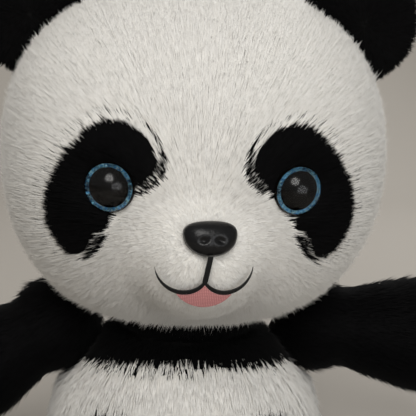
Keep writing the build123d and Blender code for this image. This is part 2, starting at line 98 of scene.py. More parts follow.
# ---------------------------------------------------------------- materials
def principled(name, **values):
    """A new material whose Principled node has the given inputs."""
    material = bpy.data.materials.new(name)
    material.use_nodes = True
    shader = material.node_tree.nodes["Principled BSDF"]
    for key, value in values.items():
        shader.inputs[key.replace("_", " ")].default_value = value
    return material


def node(material, kind, inputs=None, **settings):
    """A new node with the given settings, and the given values in its inputs."""
    made = material.node_tree.nodes.new(kind)
    for key, value in settings.items():
        setattr(made, key, value)
    for key, value in (inputs or {}).items():
        made.inputs[key].default_value = value
    return made


def link(material, source, output, target, into):
    material.node_tree.links.new(source.outputs[output], target.inputs[into])


def colour_ramp(material, *stops):
    ramp = node(material, "ShaderNodeValToRGB")
    elements = ramp.color_ramp.elements
    while len(elements) < len(stops):
        elements.new(0.5)
    for element, (position, colour) in zip(elements, stops):
        element.position = position
        element.color = (*colour, 1)
    return ramp


def add_bump(material, source, output, strength, depth):
    """Roughen a material's surface by another node's output."""
    bump = node(material, "ShaderNodeBump", {"Strength": strength, "Distance": depth})
    link(material, source, output, bump, "Height")
    link(material, bump, "Normal", material.node_tree.nodes["Principled BSDF"], "Normal")


ROOT_SHADE_UNTIL = 0.55      # share of a strand's length over which the painted shade at its root fades into its tip colour
KNIT_SCALE = 900            # cells of the backing cloth's knit, per metre


def fur_material(name, root, tip, dull, shine):
    """Strand colour: painted shade at the root, lightening to the tip colour along V, and each strand's own
    tint along U.
    """
    material = principled(name, Roughness=0.75, Specular_IOR_Level=shine, Sheen_Weight=0.4 * shine,
                          Sheen_Roughness=0.5)
    shader = material.node_tree.nodes["Principled BSDF"]
    place = node(material, "ShaderNodeUVMap", uv_map="OFBake")
    split = node(material, "ShaderNodeSeparateXYZ")
    # the darker root colour is painted shade down among the strands, fading into the tip colour part way
    # along
    along = colour_ramp(material, (0.0, root), (ROOT_SHADE_UNTIL, tip), (1.0, tip))
    tint = colour_ramp(material, (0.0, dull), (1.0, (1, 1, 1)))
    blend = node(material, "ShaderNodeMix", {"Factor": 1}, data_type="RGBA", blend_type="MULTIPLY")
    link(material, place, "UV", split, "Vector")
    link(material, split, "Y", along, "Fac")
    link(material, split, "X", tint, "Fac")
    link(material, along, "Color", blend, "A")
    link(material, tint, "Color", blend, "B")
    link(material, blend, "Result", shader, "Base Color")
    return material


def backing_material(name, colour, dark):
    """Knitted backing cloth under the fur: fine wales with a little unevenness."""
    material = principled(name, Roughness=0.9, Specular_IOR_Level=0.1)
    shader = material.node_tree.nodes["Principled BSDF"]
    place = node(material, "ShaderNodeTexCoord")
    knit = node(material, "ShaderNodeTexNoise", {"Scale": KNIT_SCALE, "Detail": 3})
    shade = colour_ramp(material, (0.35, dark), (0.65, colour))
    link(material, place, "Object", knit, "Vector")
    link(material, knit, "Fac", shade, "Fac")
    link(material, shade, "Color", shader, "Base Color")
    add_bump(material, knit, "Fac", strength=0.4, depth=0.5 * MM)
    return material


# both furs' root colours are darker than their tips: painted shade among the roots
WHITE_FUR = fur_material("white_fur", root=(0.74, 0.715, 0.67), tip=(0.84, 0.825, 0.79),
                         dull=(0.95, 0.94, 0.92), shine=0.25)
BLACK_FUR = fur_material("black_fur", root=(0.001, 0.001, 0.001), tip=(0.003, 0.003, 0.0033),
                         dull=(0.5, 0.5, 0.5), shine=0.06)
PILE = {"white_pile": WHITE_FUR, "black_pile": BLACK_FUR}
WHITE_BACKING = backing_material("white_backing", colour=(0.76, 0.74, 0.70), dark=(0.70, 0.68, 0.63))
BLACK_BACKING = backing_material("black_backing", colour=(0.004, 0.004, 0.004), dark=(0.002, 0.002, 0.002))


# ---------------------------------------------------------------- skins
COVERS = {
    "head": ("head_front_panel", "head_back_left_panel", "head_back_right_panel", "muzzle_panel",
             "left_eye_patch", "right_eye_patch"),
    "torso": ("yoke_front_panel", "yoke_back_panel", "belly_panel", "back_left_panel", "back_right_panel",
              "seat_panel"),
    "tail": ("tail_cover",),
}
FILLINGS = {"head": "head_stuffing", "torso": "body_stuffing", "tail": "tail_stuffing"}
for word in SIDES:
    COVERS[f"{word}_ear"] = (f"{word}_ear_front", f"{word}_ear_back")
    COVERS[f"{word}_arm"] = (f"{word}_arm_front_panel", f"{word}_arm_back_panel")
    COVERS[f"{word}_leg"] = (f"{word}_leg_top_panel", f"{word}_leg_under_panel", f"{word}_sole_pad")
    FILLINGS[f"{word}_ear"] = f"{word}_ear_wadding"
    FILLINGS[f"{word}_arm"] = f"{word}_arm_stuffing"
    FILLINGS[f"{word}_leg"] = f"{word}_leg_stuffing"
COVERS["neck"] = ()
FILLINGS["neck"] = "neck_stuffing"
BLACK_NODES = {"left_eye_patch", "right_eye_patch", "yoke_front_panel", "yoke_back_panel", "neck_stuffing"}
for word in SIDES:
    for part in ("ear", "arm", "leg"):
        BLACK_NODES.update(COVERS[f"{word}_{part}"])

VOXEL = 4 * MM
EAR_VOXEL = VOXEL / 2
SKIN_DEPTH = 1.6 * MM       # the backing cloth lies this far under the outside of the CAD covers
EAR_SKIN_DEPTH = 1.8 * MM
EAR_EDGE_RADIUS = 7.5 * MM  # of a CAD ear's lower edge, which is round about its hinge line
EAR_ROOT_REACH = 10 * MM    # an ear's skin runs on this far into the fur of the head
COLLAR_SHAPE = Vector((1.75, 1.45, 0.8))    # the neck ball, spread into a soft collar
SMOOTHING = 0.5             # how far one pass of smoothing moves a vertex towards its neighbours
SMOOTH_PASSES = 5
SWELL_FRAMES = 20
SWELL_CAP = 3.0 * MM        # the most that a vertex may move as the cloth swells
SWELL_ROOM = SWELL_CAP / 3  # a skin other than an ear's starts this much lower, to leave room for it
SEAM_HOLD = 0.8             # how firmly the vertices on a seam stay where they are
CLOTH = {
    "quality": 4,
    "mass": 0.2,
    "tension_stiffness": 8,
    "compression_stiffness": 8,
    "shear_stiffness": 4,
    "bending_stiffness": 2,
    "use_pressure": True,
    "uniform_pressure_force": 4,
    "vertex_group_mass": "seam",
}


def new_object(name, mesh):
    made = bpy.data.objects.new(name, mesh)
    scene.collection.objects.link(made)
    return made


def replace_mesh(target, bm):
    bm.to_mesh(target.data)
    bm.free()
    target.data.update()


def applied(target):
    """Turn an object's modifiers into plain mesh."""
    shaped = bpy.data.meshes.new_from_object(target.evaluated_get(bpy.context.evaluated_depsgraph_get()))
    target.modifiers.clear()
    target.data = shaped


def largest_shell(bm):
    """Delete every loose part but the one with the most vertices."""
    unseen = set(bm.verts)
    shells = []
    while unseen:
        shell = {unseen.pop()}
        front = list(shell)
        while front:
            for edge in front.pop().link_edges:
                for vertex in edge.verts:
                    if vertex in unseen:
                        unseen.remove(vertex)
                        shell.add(vertex)
                        front.append(vertex)
        shells.append(shell)
    keep = max(shells, key=len)
    bmesh.ops.delete(bm, geom=[v for v in bm.verts if v not in keep], context="VERTS")


class Covers:
    """The CAD cover panels of one body, to ask which panel a point belongs to."""

    def __init__(self, names):
        vertices, faces, self.owner = [], [], []
        for number, name in enumerate(names):
            mesh = NODES[name].data
            start = len(vertices)
            vertices.extend(v.co[:] for v in mesh.vertices)
            faces.extend([start + i for i in polygon.vertices] for polygon in mesh.polygons)
            self.owner.extend([number] * len(mesh.polygons))
        self.names = names
        self.tree = BVHTree.FromPolygons(vertices, faces)

    def panel_at(self, point):
        return self.names[self.owner[self.tree.find_nearest(point)[2]]]


def reach_into_head(bm, body):
    """Pull the lower edge of an ear down, so that no gap shows between its fur and the head's."""
    hinge = Vector(joint_place(body))
    upward = (Vector(box_centre(FILLINGS[body])) - hinge).normalized()
    for vertex in bm.verts:
        height = (vertex.co - hinge).dot(upward)
        if height < 0:
            vertex.co += upward * height * (EAR_ROOT_REACH / EAR_EDGE_RADIUS)


def spread_collar(bm):
    centre = Vector(box_centre("neck_stuffing"))
    for vertex in bm.verts:
        vertex.co = centre + (vertex.co - centre) * COLLAR_SHAPE


def joined_shapes(body):
    """The covers and the filling of a body in one mesh, with an ear's root and the collar reshaped."""
    bm = bmesh.new()
    for name in (*COVERS[body], FILLINGS[body]):
        bm.from_mesh(NODES[name].data)
    if "ear" in body:
        reach_into_head(bm, body)
    if body == "neck":
        spread_collar(bm)
    return bm


def rough_skin(body):
    """One closed skin round a body's covers, from the CAD shapes, a little under the pile."""
    voxel, sink = (EAR_VOXEL, EAR_SKIN_DEPTH) if "ear" in body else (VOXEL, SKIN_DEPTH + SWELL_ROOM)
    skin = new_object(f"{body}_skin", bpy.data.meshes.new(f"{body}_skin"))
    replace_mesh(skin, joined_shapes(body))
    remesh = skin.modifiers.new("remesh", "REMESH")
    remesh.mode = "VOXEL"
    remesh.voxel_size = voxel
    applied(skin)
    bm = bmesh.new()
    bm.from_mesh(skin.data)
    largest_shell(bm)
    bmesh.ops.smooth_vert(bm, verts=bm.verts, factor=SMOOTHING, use_axis_x=True, use_axis_y=True,
                          use_axis_z=True)
    bm.normal_update()
    for vertex in bm.verts:
        vertex.co -= vertex.normal * sink
    replace_mesh(skin, bm)
    return skin


def seam_vertices(skin, covers):
    """Numbers of the vertices that lie on a seam between two panels."""
    panel = [covers.panel_at(vertex.co) for vertex in skin.data.vertices]
    on_seam = set()
    for edge in skin.data.edges:
        first, second = edge.vertices
        if panel[first] != panel[second]:
            on_seam.update((first, second))
    return sorted(on_seam)


def swell(skins, covers):
    """Blow the skins up as cloth held at their seams, so each panel crowns between them."""
    before = {}
    for body, skin in skins.items():
        seam = skin.vertex_groups.new(name="seam")
        seam.add(seam_vertices(skin, covers[body]), SEAM_HOLD, "REPLACE")
        before[body] = [vertex.co.copy() for vertex in skin.data.vertices]
        cloth = skin.modifiers.new("swell", "CLOTH")
        for key, value in CLOTH.items():
            setattr(cloth.settings, key, value)
        cloth.settings.effector_weights.gravity = 0
        cloth.collision_settings.use_self_collision = False
        cloth.point_cache.frame_start = 1
        cloth.point_cache.frame_end = SWELL_FRAMES
    for number in range(1, SWELL_FRAMES + 1):
        scene.frame_set(number)
    for body, skin in skins.items():
        applied(skin)
        for vertex, start in zip(skin.data.vertices, before[body]):
            moved = vertex.co - start
            if moved.length > SWELL_CAP:
                vertex.co = start + moved * (SWELL_CAP / moved.length)
        skin.vertex_groups.clear()
    scene.frame_set(1)


def finish_skin(skin):
    """Smooth the voxel steps away and add one subdivision."""
    smooth = skin.modifiers.new("smooth", "SMOOTH")
    smooth.factor = SMOOTHING
    smooth.iterations = SMOOTH_PASSES
    finer = skin.modifiers.new("finer", "SUBSURF")
    finer.levels = 1
    finer.render_levels = 1
    applied(skin)
    skin.data.shade_smooth()


def colour_skin(skin, covers):
    """White or black backing cloth, by the panel under each face."""
    skin.data.materials.clear()
    skin.data.materials.append(WHITE_BACKING)
    skin.data.materials.append(BLACK_BACKING)
    for polygon in skin.data.polygons:
        polygon.material_index = int(covers.panel_at(polygon.center) in BLACK_NODES)


covers = {body: Covers(names or (FILLINGS[body],)) for body, names in COVERS.items()}
skins = {body: rough_skin(body) for body in COVERS}
swell(skins, covers)
for body, skin in skins.items():
    finish_skin(skin)
    colour_skin(skin, covers[body])
    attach(skin, body)
    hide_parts(*COVERS[body], FILLINGS[body])
print("skins made")


# ---------------------------------------------------------------- fur
DENSITY = 1.0   # share of the strands that are grown
MOST_STRANDS = 19000        # in one piece, so that its mesh stays small enough to store whole
STRAND_STEPS = (0.0, 0.5)   # ring places along a strand, before its tip
STRAND_SIDES = 3
STRAND_POINTS = len(STRAND_STEPS) * STRAND_SIDES + 1
STRAND_TAPER = 0.6          # share of its width that a strand loses towards its tip
STRAND_CURVE = 1.5          # power by which the taper and the gathering grow along a strand
LENGTH_SPREAD = (0.75, 1.15)    # shortest and longest strand, as shares of the length asked for
WIDTH_SPREAD = (0.8, 1.2)
LIFT = 0.32                 # how steeply fur rises from the skin, 1 would be upright
LIFT_LOST = 0.35            # share of the rise that a strand loses again by its tip
EARLY_REACH = 0.75          # how fast a strand runs over the skin at its root, against its average
STRAY = 0.14                # how far strands stray from the way they are combed
CLUMP_SIZE = 12             # strands that lean together
GATHER = 0.32               # how far strands close up into clumps
SEAM_TRIM = 0.45            # share of its length left to a strand that crosses a colour seam
SKIN_SHADING = 0.82         # how much a strand is shaded like the skin under it, and not like a tube
UV_MARGIN = 0.02            # left at both ends of the strand's colours
PLAIN_WIDTH = 0.5 * MM      # a strand at its root, on any body but the head

CM2_IN_M2 = 1e4
HEAD_DENSITY = 380          # strands per square centimetre
HEAD_THINS_FROM = -5 * MM   # backwards from the head's middle: fur starts to get sparse and broad here
HEAD_THINS_TO = 25 * MM
HEAD_THINNING = 0.72        # share of the strands left out at the back of the head
HEAD_BROADENING = 0.9       # how much broader the strands are there
SHORT_UNTIL = 20 * MM       # from the mouth: fur is short within this
LONG_FROM = 55 * MM
DEPTH_SHARE = 0.6           # how much a step in depth counts in that distance
MOUTH_BELOW_NOSE = 12 * MM
CHIN_FROM = 2 * MM          # above the head's lowest point: fur is longest up to here
CHIN_TO = 32 * MM           # and is no longer than elsewhere from here
DOWN_COMB = 0.3             # how much more steeply the fur below the nose runs down
EYE_ROOT_GAP = 0.6 * MM     # from a root to the eyes and the nose
EYE_TIP_GAP = 0.5 * MM      # from a tip to the eyes
STITCH_ROOT_GAP = 1.0 * MM  # from a root to the nose, the mouth and the tongue
STITCH_TIP_GAP = 0.7 * MM
SHORT_LENGTH = 3.0          # millimetres, round the nose and mouth
CHEEK_GAIN = 7.5            # added to it out to the cheeks
CHIN_GAIN = 3.0             # added under the chin
SHORT_WIDTH = 0.30          # millimetres
CHEEK_WIDTH_GAIN = 0.08


def unit(vectors):
    return vectors / np.maximum(np.linalg.norm(vectors, axis=1, keepdims=True), 1e-9)


def scatter(skin, per_cm2):
    """Random root points and smooth normals all over a skin."""
    mesh = skin.data
    mesh.calc_loop_triangles()
    count = len(mesh.loop_triangles)
    corners = np.empty(count * 3, dtype=np.int32)
    mesh.loop_triangles.foreach_get("vertices", corners)
    corners = corners.reshape(-1, 3)
    places = np.empty(len(mesh.vertices) * 3)
    mesh.vertices.foreach_get("co", places)
    places = places.reshape(-1, 3)
    facing = np.empty(len(mesh.vertices) * 3)
    mesh.vertex_normals.foreach_get("vector", facing)
    facing = facing.reshape(-1, 3)
    a, b, c = (places[corners[:, i]] for i in range(3))
    areas = np.linalg.norm(np.cross(b - a, c - a), axis=1) / 2
    wanted = int(areas.sum() * CM2_IN_M2 * per_cm2)
    chosen = random.choice(count, wanted, p=areas / areas.sum())
    u = random.random((wanted, 1))
    v = random.random((wanted, 1))
    over = (u + v) > 1
    u = np.where(over, 1 - u, u)
    v = np.where(over, 1 - v, v)
    w = 1 - u - v
    ids = corners[chosen]
    roots = w * places[ids[:, 0]] + u * places[ids[:, 1]] + v * places[ids[:, 2]]
    normals = unit(w * facing[ids[:, 0]] + u * facing[ids[:, 1]] + v * facing[ids[:, 2]])
    return roots, normals


def clump_pull(roots, tips):
    """For each strand, the way from its tip to the tip of the strand its clump gathers round."""
    leaders = random.choice(len(roots), max(1, len(roots) // CLUMP_SIZE), replace=False)
    tree = kdtree.KDTree(len(leaders))
    for number, leader in enumerate(leaders):
        tree.insert(roots[leader], number)
    tree.balance()
    nearest = np.array([leaders[tree.find(root)[1]] for root in roots])
    return tips[nearest] - tips


def strand_shapes(roots, normals, comb, lengths):
    """Centre lines of the strands: rising from the skin, combed over, and gathered into clumps."""
    comb = unit(comb - normals * np.sum(comb * normals, axis=1, keepdims=True))
    stray = random.normal(0, STRAY, roots.shape)
    comb = unit(comb + stray)
    lengths = lengths[:, None]
    steps = (*STRAND_STEPS, 1.0)
    lines = []
    for step in steps:
        rise = LIFT * step * (1 - LIFT_LOST * step)
        reach = math.sqrt(1 - LIFT ** 2) * step * (EARLY_REACH + (1 - EARLY_REACH) * step)
        lines.append(roots + lengths * (normals * rise + comb * reach))
    pull = clump_pull(roots, lines[-1])
    return [line + pull * GATHER * step ** STRAND_CURVE for line, step in zip(lines, steps)]


def strand_points(lines, widths, side, above):
    """The corners of every strand's rings, then its tip."""
    points = np.empty((len(widths), STRAND_POINTS, 3))
    for ring, step in enumerate(STRAND_STEPS):
        radius = widths[:, None] / 2 * (1 - STRAND_TAPER * step ** STRAND_CURVE)
        for corner in range(STRAND_SIDES):
            angle = 2 * math.pi * corner / STRAND_SIDES + math.pi / 6
            spoke = math.cos(angle) * side - math.sin(angle) * above
            points[:, ring * STRAND_SIDES + corner] = lines[ring] + radius * spoke
    points[:, -1] = lines[-1]
    return points


def strand_faces():
    """One closed strand's faces, as corner numbers: its walls, its pointed end and its root."""
    faces = []
    for low in range(0, STRAND_POINTS - 1 - STRAND_SIDES, STRAND_SIDES):
        for corner in range(STRAND_SIDES):
            following = (corner + 1) % STRAND_SIDES
            high = low + STRAND_SIDES
            faces.append((low + corner, low + following, high + following, high + corner))
    last = STRAND_POINTS - 1 - STRAND_SIDES
    for corner in range(STRAND_SIDES):
        faces.append((last + corner, last + (corner + 1) % STRAND_SIDES, STRAND_POINTS - 1))
    faces.append(tuple(reversed(range(STRAND_SIDES))))
    return faces


def strand_mesh(name, lines, normals, widths, tints):
    """A mesh of closed three-sided tapering strands, with each strand's place and tint in its UV map."""
    count = len(normals)
    along = unit(lines[-1] - lines[0])
    side = unit(np.cross(along, normals))
    above = np.cross(side, along)
    faces = strand_faces()
    pattern = np.concatenate(faces)
    sizes = np.array([len(face) for face in faces])
    starts = np.cumsum(sizes) - sizes
    strand = np.arange(count)[:, None]
    mesh = bpy.data.meshes.new(name)
    mesh.vertices.add(count * STRAND_POINTS)
    mesh.vertices.foreach_set("co", strand_points(lines, widths, side, above).ravel())
    mesh.loops.add(count * len(pattern))
    mesh.loops.foreach_set("vertex_index", (strand * STRAND_POINTS + pattern).ravel().astype(np.int32))
    mesh.polygons.add(count * len(sizes))
    mesh.polygons.foreach_set("loop_start", (strand * len(pattern) + starts).ravel().astype(np.int32))
    mesh.update(calc_edges=True)
    step_of_point = np.append(np.repeat(STRAND_STEPS, STRAND_SIDES), 1.0)
    places = np.empty((count, len(pattern), 2))
    places[:, :, 0] = tints[:, None]
    places[:, :, 1] = UV_MARGIN + (1 - 2 * UV_MARGIN) * step_of_point[pattern]
    mesh.uv_layers.new(name="OFBake").data.foreach_set("uv", places.ravel())
    mesh.shade_smooth()
    shading = SKIN_SHADING * normals + (1 - SKIN_SHADING) * above
    mesh.normals_split_custom_set_from_vertices(unit(np.repeat(shading, STRAND_POINTS, axis=0)))
    return mesh


def add_fur(name, body, slot, strands, chosen):
    """Split the chosen strands into pieces that ride on a body."""
    lines, normals, widths, tints = strands
    numbers = np.flatnonzero(chosen)
    pieces = math.ceil(len(numbers) / MOST_STRANDS)
    for piece, batch in enumerate(np.array_split(numbers, pieces) if pieces else []):
        piece_name = f"{name}_{piece + 1}" if pieces > 1 else name
        batch_lines = [line[batch] for line in lines]
        mesh = strand_mesh(piece_name, batch_lines, normals[batch], widths[batch], tints[batch])
        mesh.materials.append(PILE[slot])
        coat = new_object(piece_name, mesh)
        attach(coat, body)


def feature_tree(*names):
    """The surfaces of hard or stitched features that fur keeps off."""
    return Covers(names).tree


def far_from(tree, points, distance):
    """For each point, whether it is at least a distance away from the tree's surfaces."""
    return np.array([tree.find_nearest(point, distance)[0] is None for point in points], dtype=bool)


def comb_head(roots):
    """Head fur runs out from the nose, and more steeply down below it."""
    outward = roots - FACE_CENTRE
    outward[:, 2] += np.where(outward[:, 2] > 0, 0, outward[:, 2] * DOWN_COMB)
    return outward


def smooth_step(values, low, high):
    """0 up to low, 1 from high, and an even curve between them."""
    t = np.clip((values - low) / (high - low), 0, 1)
    return t * t * (3 - 2 * t)


def is_black(body, points):
    """For each point, whether the panel nearest to it is black."""
    return np.array([covers[body].panel_at(point) in BLACK_NODES for point in points])


def trim_at_seams(body, lines):
    """Shorten strands that cross a black and white seam. Returns the strands and which of them are black."""
    black = is_black(body, lines[0])
    crossing = black != is_black(body, lines[-1])
    shrink = np.where(crossing, SEAM_TRIM, 1.0)[:, None]
    return [lines[0] + (line - lines[0]) * shrink for line in lines], black


def clear_of_features(roots, tips):
    """Which strands keep off the nose, the stitched mouth, the tongue and the eyes."""
    stitched = feature_tree("nose_button", "mouth_embroidery", "tongue_applique")
    clear = far_from(stitched, tips, STITCH_TIP_GAP) & far_from(stitched, roots, STITCH_ROOT_GAP)
    return clear & far_from(feature_tree("left_eye_lens", "right_eye_lens"), tips, EYE_TIP_GAP)


def grow_head_fur():
    """Fine fur, shortest round the nose and mouth, and longest on the cheeks and under the chin."""
    roots, normals = scatter(skins["head"], HEAD_DENSITY * DENSITY)
    behind = smooth_step(roots[:, 1], HEAD_CENTRE[1] + HEAD_THINS_FROM, HEAD_CENTRE[1] + HEAD_THINS_TO)
    kept = random.random(len(roots)) > HEAD_THINNING * behind
    kept &= far_from(feature_tree("left_eye_lens", "right_eye_lens", "nose_button"), roots, EYE_ROOT_GAP)
    roots, normals, behind = roots[kept], normals[kept], behind[kept]
    from_mouth = (roots - FACE_CENTRE) * [1, DEPTH_SHARE, 1] + [0, 0, MOUTH_BELOW_NOSE]
    outside = smooth_step(np.linalg.norm(from_mouth, axis=1), SHORT_UNTIL, LONG_FROM)
    under_chin = 1 - smooth_step(roots[:, 2], HEAD_LOW[2] + CHIN_FROM, HEAD_LOW[2] + CHIN_TO)
    lengths = (SHORT_LENGTH + CHEEK_GAIN * outside + CHIN_GAIN * under_chin) * MM
    lengths = lengths * random.uniform(*LENGTH_SPREAD, len(roots))
    widths = (SHORT_WIDTH + CHEEK_WIDTH_GAIN * outside) * (1 + HEAD_BROADENING * behind) * MM
    widths = widths * random.uniform(*WIDTH_SPREAD, len(roots))
    lines, black = trim_at_seams("head", strand_shapes(roots, normals, comb_head(roots), lengths))
    clear = clear_of_features(roots, lines[-1])
    strands = (lines, normals, widths, random.random(len(roots)))
    add_fur("head_fur", "head", "white_pile", strands, clear & ~black)
    add_fur("eye_patch_fur", "head", "black_pile", strands, clear & black)


def grow_plain_fur(body, per_cm2, length, comb):
    """Fur on any other body, black or white by its panel."""
    roots, normals = scatter(skins[body], per_cm2 * DENSITY)
    lengths = length * random.uniform(*LENGTH_SPREAD, len(roots))
    widths = PLAIN_WIDTH * random.uniform(*WIDTH_SPREAD, len(roots))
    lines, black = trim_at_seams(body, strand_shapes(roots, normals, comb(roots), lengths))
    strands = (lines, normals, widths, random.random(len(roots)))
    add_fur(f"{body}_black_fur", body, "black_pile", strands, black)
    add_fur(f"{body}_white_fur", body, "white_pile", strands, ~black)


def comb_away(start):
    """Fur that runs away from a point."""
    return lambda roots: roots - start


def comb_down(roots):
    """Fur that hangs down and a little forwards."""
    return np.tile([0.0, -0.25, -1.0], (len(roots), 1))


def comb_along(body):
    """Fur lies along a limb, from its joint to its end."""
    start = joint_place(body)
    direction = unit_vector(box_centre(FILLINGS[body]) - start)
    return lambda roots: np.tile(direction, (len(roots), 1))


grow_head_fur()
grow_plain_fur("torso", per_cm2=120, length=9.0 * MM, comb=comb_down)
grow_plain_fur("neck", per_cm2=90, length=8.0 * MM, comb=comb_down)
grow_plain_fur("tail", per_cm2=110, length=8.0 * MM, comb=comb_away(joint_place("tail")))
for word in SIDES:
    ear, arm, leg = f"{word}_ear", f"{word}_arm", f"{word}_leg"
    grow_plain_fur(ear, per_cm2=220, length=6.0 * MM, comb=comb_away(joint_place(ear)))
    grow_plain_fur(arm, per_cm2=120, length=12.0 * MM, comb=comb_along(arm))
    grow_plain_fur(leg, per_cm2=100, length=8.0 * MM, comb=comb_along(leg))
print("fur grown")


# ---------------------------------------------------------------- eyes, nose, mouth and tongue
RIPPLE_SCALE = 900          # ripples of moulded plastic, per metre
FLAKE_SCALE = 1600          # flakes of glitter, per metre
ACRYLIC_IOR = 1.49
NOSE_RINGS = 28
NOSE_SEGMENTS = 96
NOSE_PROUD = 6.0 * MM       # from the rim of the nose to its crown
NOSE_DOME = 2.4             # a higher power makes a flatter crown
NOSE_SIDE_POWER = 0.8       # below 1 these square the outline, sideways and upwards
NOSE_TOP_POWER = 0.85
NOSE_FLARE = 0.22           # how much the outline widens above the middle and narrows below it
NOSTRIL_OUT = 0.30          # in half widths of the nose, from its middle
NOSTRIL_DOWN = 0.22         # in half heights, from its middle
NOSTRIL_SLANT = 0.15        # how steeply a nostril drops outwards
NOSTRIL_SIZE = 0.17         # in half sizes of the nose
NOSTRIL_DEPTH = 1.3 * MM
GROOVE_WIDTH = 0.07         # in half widths of the nose
GROOVE_DEPTH = 0.35 * MM


def dress(material, *names):
    """Give CAD nodes a better material."""
    for name in names:
        materials = NODES[name].data.materials
        materials.clear()
        materials.append(material)


def gloss_material(name, colour):
    """Moulded plastic with the faint waviness of a polished part."""
    material = principled(name, Base_Color=(*colour, 1), Roughness=0.3, Specular_IOR_Level=0.22,
                          Coat_Weight=0.05, Coat_Roughness=0.2)
    place = node(material, "ShaderNodeTexCoord")
    ripple = node(material, "ShaderNodeTexNoise", {"Scale": RIPPLE_SCALE})
    link(material, place, "Object", ripple, "Vector")
    add_bump(material, ripple, "Fac", strength=0.35, depth=0.3 * MM)
    return material


def glitter_material():
    """Blue metal film broken into flakes of deeper and paler blue, with the palest flakes painted near white
    as painted glints.
    """
    material = principled("blue_glitter", Metallic=0.35, Roughness=0.3)
    shader = material.node_tree.nodes["Principled BSDF"]
    place = node(material, "ShaderNodeTexCoord")
    flakes = node(material, "ShaderNodeTexVoronoi", {"Scale": FLAKE_SCALE}, feature="F1")
    # the ramp's dark and mid blues are the film's own colour; its pale cyan and near-white top is painted
    # glint on the flakes
    colours = colour_ramp(material, (0.0, (0.01, 0.08, 0.3)), (0.35, (0.05, 0.38, 0.85)),
                          (0.7, (0.35, 0.82, 1.0)), (1.0, (0.8, 1.0, 1.0)))
    link(material, place, "Object", flakes, "Vector")
    link(material, flakes, "Color", colours, "Fac")
    link(material, colours, "Color", shader, "Base Color")
    add_bump(material, flakes, "Color", strength=0.8, depth=0.3 * MM)
    return material


def woven_material(name, dark, light, scale, shine):
    """Satin weave: fine crossing threads with a soft sheen."""
    material = principled(name, Roughness=0.55, Specular_IOR_Level=shine, Sheen_Weight=0.6 * shine)
    shader = material.node_tree.nodes["Principled BSDF"]
    place = node(material, "ShaderNodeTexCoord")
    waves = {"Scale": scale, "Distortion": 1.5}
    warp = node(material, "ShaderNodeTexWave", waves, bands_direction="X")
    weft = node(material, "ShaderNodeTexWave", waves, bands_direction="Z")
    weave = node(material, "ShaderNodeMath", operation="MULTIPLY")
    for number, wave in enumerate((warp, weft)):
        link(material, place, "Object", wave, "Vector")
        link(material, wave, "Fac", weave, number)
    colours = colour_ramp(material, (0.0, dark), (0.7, light))
    link(material, weave, "Value", colours, "Fac")
    link(material, colours, "Color", shader, "Base Color")
    add_bump(material, weave, "Value", strength=0.5, depth=0.3 * MM)
    return material


def clear_material():
    """A clear dome that only mirrors, on its outer side: light reaches the ring under it."""
    material = principled("clear_dome", Base_Color=(0.5, 0.5, 0.5, 1), Metallic=1.0, Roughness=0.16)
    mirror = material.node_tree.nodes["Principled BSDF"]
    output = material.node_tree.nodes["Material Output"]
    see_through = node(material, "ShaderNodeBsdfTransparent")
    share = node(material, "ShaderNodeFresnel", {"IOR": ACRYLIC_IOR})
    side = node(material, "ShaderNodeNewGeometry")
    outer_only = node(material, "ShaderNodeMath", operation="SUBTRACT", use_clamp=True)
    blend = node(material, "ShaderNodeMixShader")
    link(material, share, "Fac", outer_only, 0)
    link(material, side, "Backfacing", outer_only, 1)
    link(material, outer_only, "Value", blend, "Fac")
    link(material, see_through, "BSDF", blend, 1)
    link(material, mirror, "BSDF", blend, 2)
    link(material, blend, "Shader", output, "Surface")
    return material


def nose_directions():
    """Across and upwards in the plane of the nose."""
    across = unit_vector(np.cross(NOSE_AXIS, [0.0, 0.0, -1.0]))
    return across, np.cross(NOSE_AXIS, across)


def nose_rim():
    """Middle and half sizes of the moulded button's dome, and the height of its crown."""
    points = np.array([vertex.co[:] for vertex in NODES["nose_button"].data.vertices]) - NOSE_CENTRE
    heights = points @ NOSE_AXIS
    crown = heights.max()
    visible = points[heights > crown - NOSE_PROUD]
    middle = NOSE_CENTRE
    half_sizes = []
    for direction in nose_directions():
        low, high = np.min(visible @ direction), np.max(visible @ direction)
        middle = middle + direction * (low + high) / 2
        half_sizes.append((high - low) / 2)
    return middle, half_sizes, crown


def soft_power(value, power):
    """A power that keeps the sign: below 1 it squares a circle's corners."""
    return math.copysign(abs(value) ** power, value)


def nose_height(u, v, share):
    """Height over the rim at u and v of its half sizes: a dome with two nostrils and a groove below."""
    height = NOSE_PROUD * (1 - share ** NOSE_DOME) ** 0.5
    for side in (-1, 1):
        outward = side * u - NOSTRIL_OUT
        downward = v + NOSTRIL_DOWN + NOSTRIL_SLANT * outward
        height -= NOSTRIL_DEPTH * math.exp(-(outward ** 2 + downward ** 2) / NOSTRIL_SIZE ** 2)
    return height - GROOVE_DEPTH * math.exp(-((u / GROOVE_WIDTH) ** 2)) * max(0, -v)


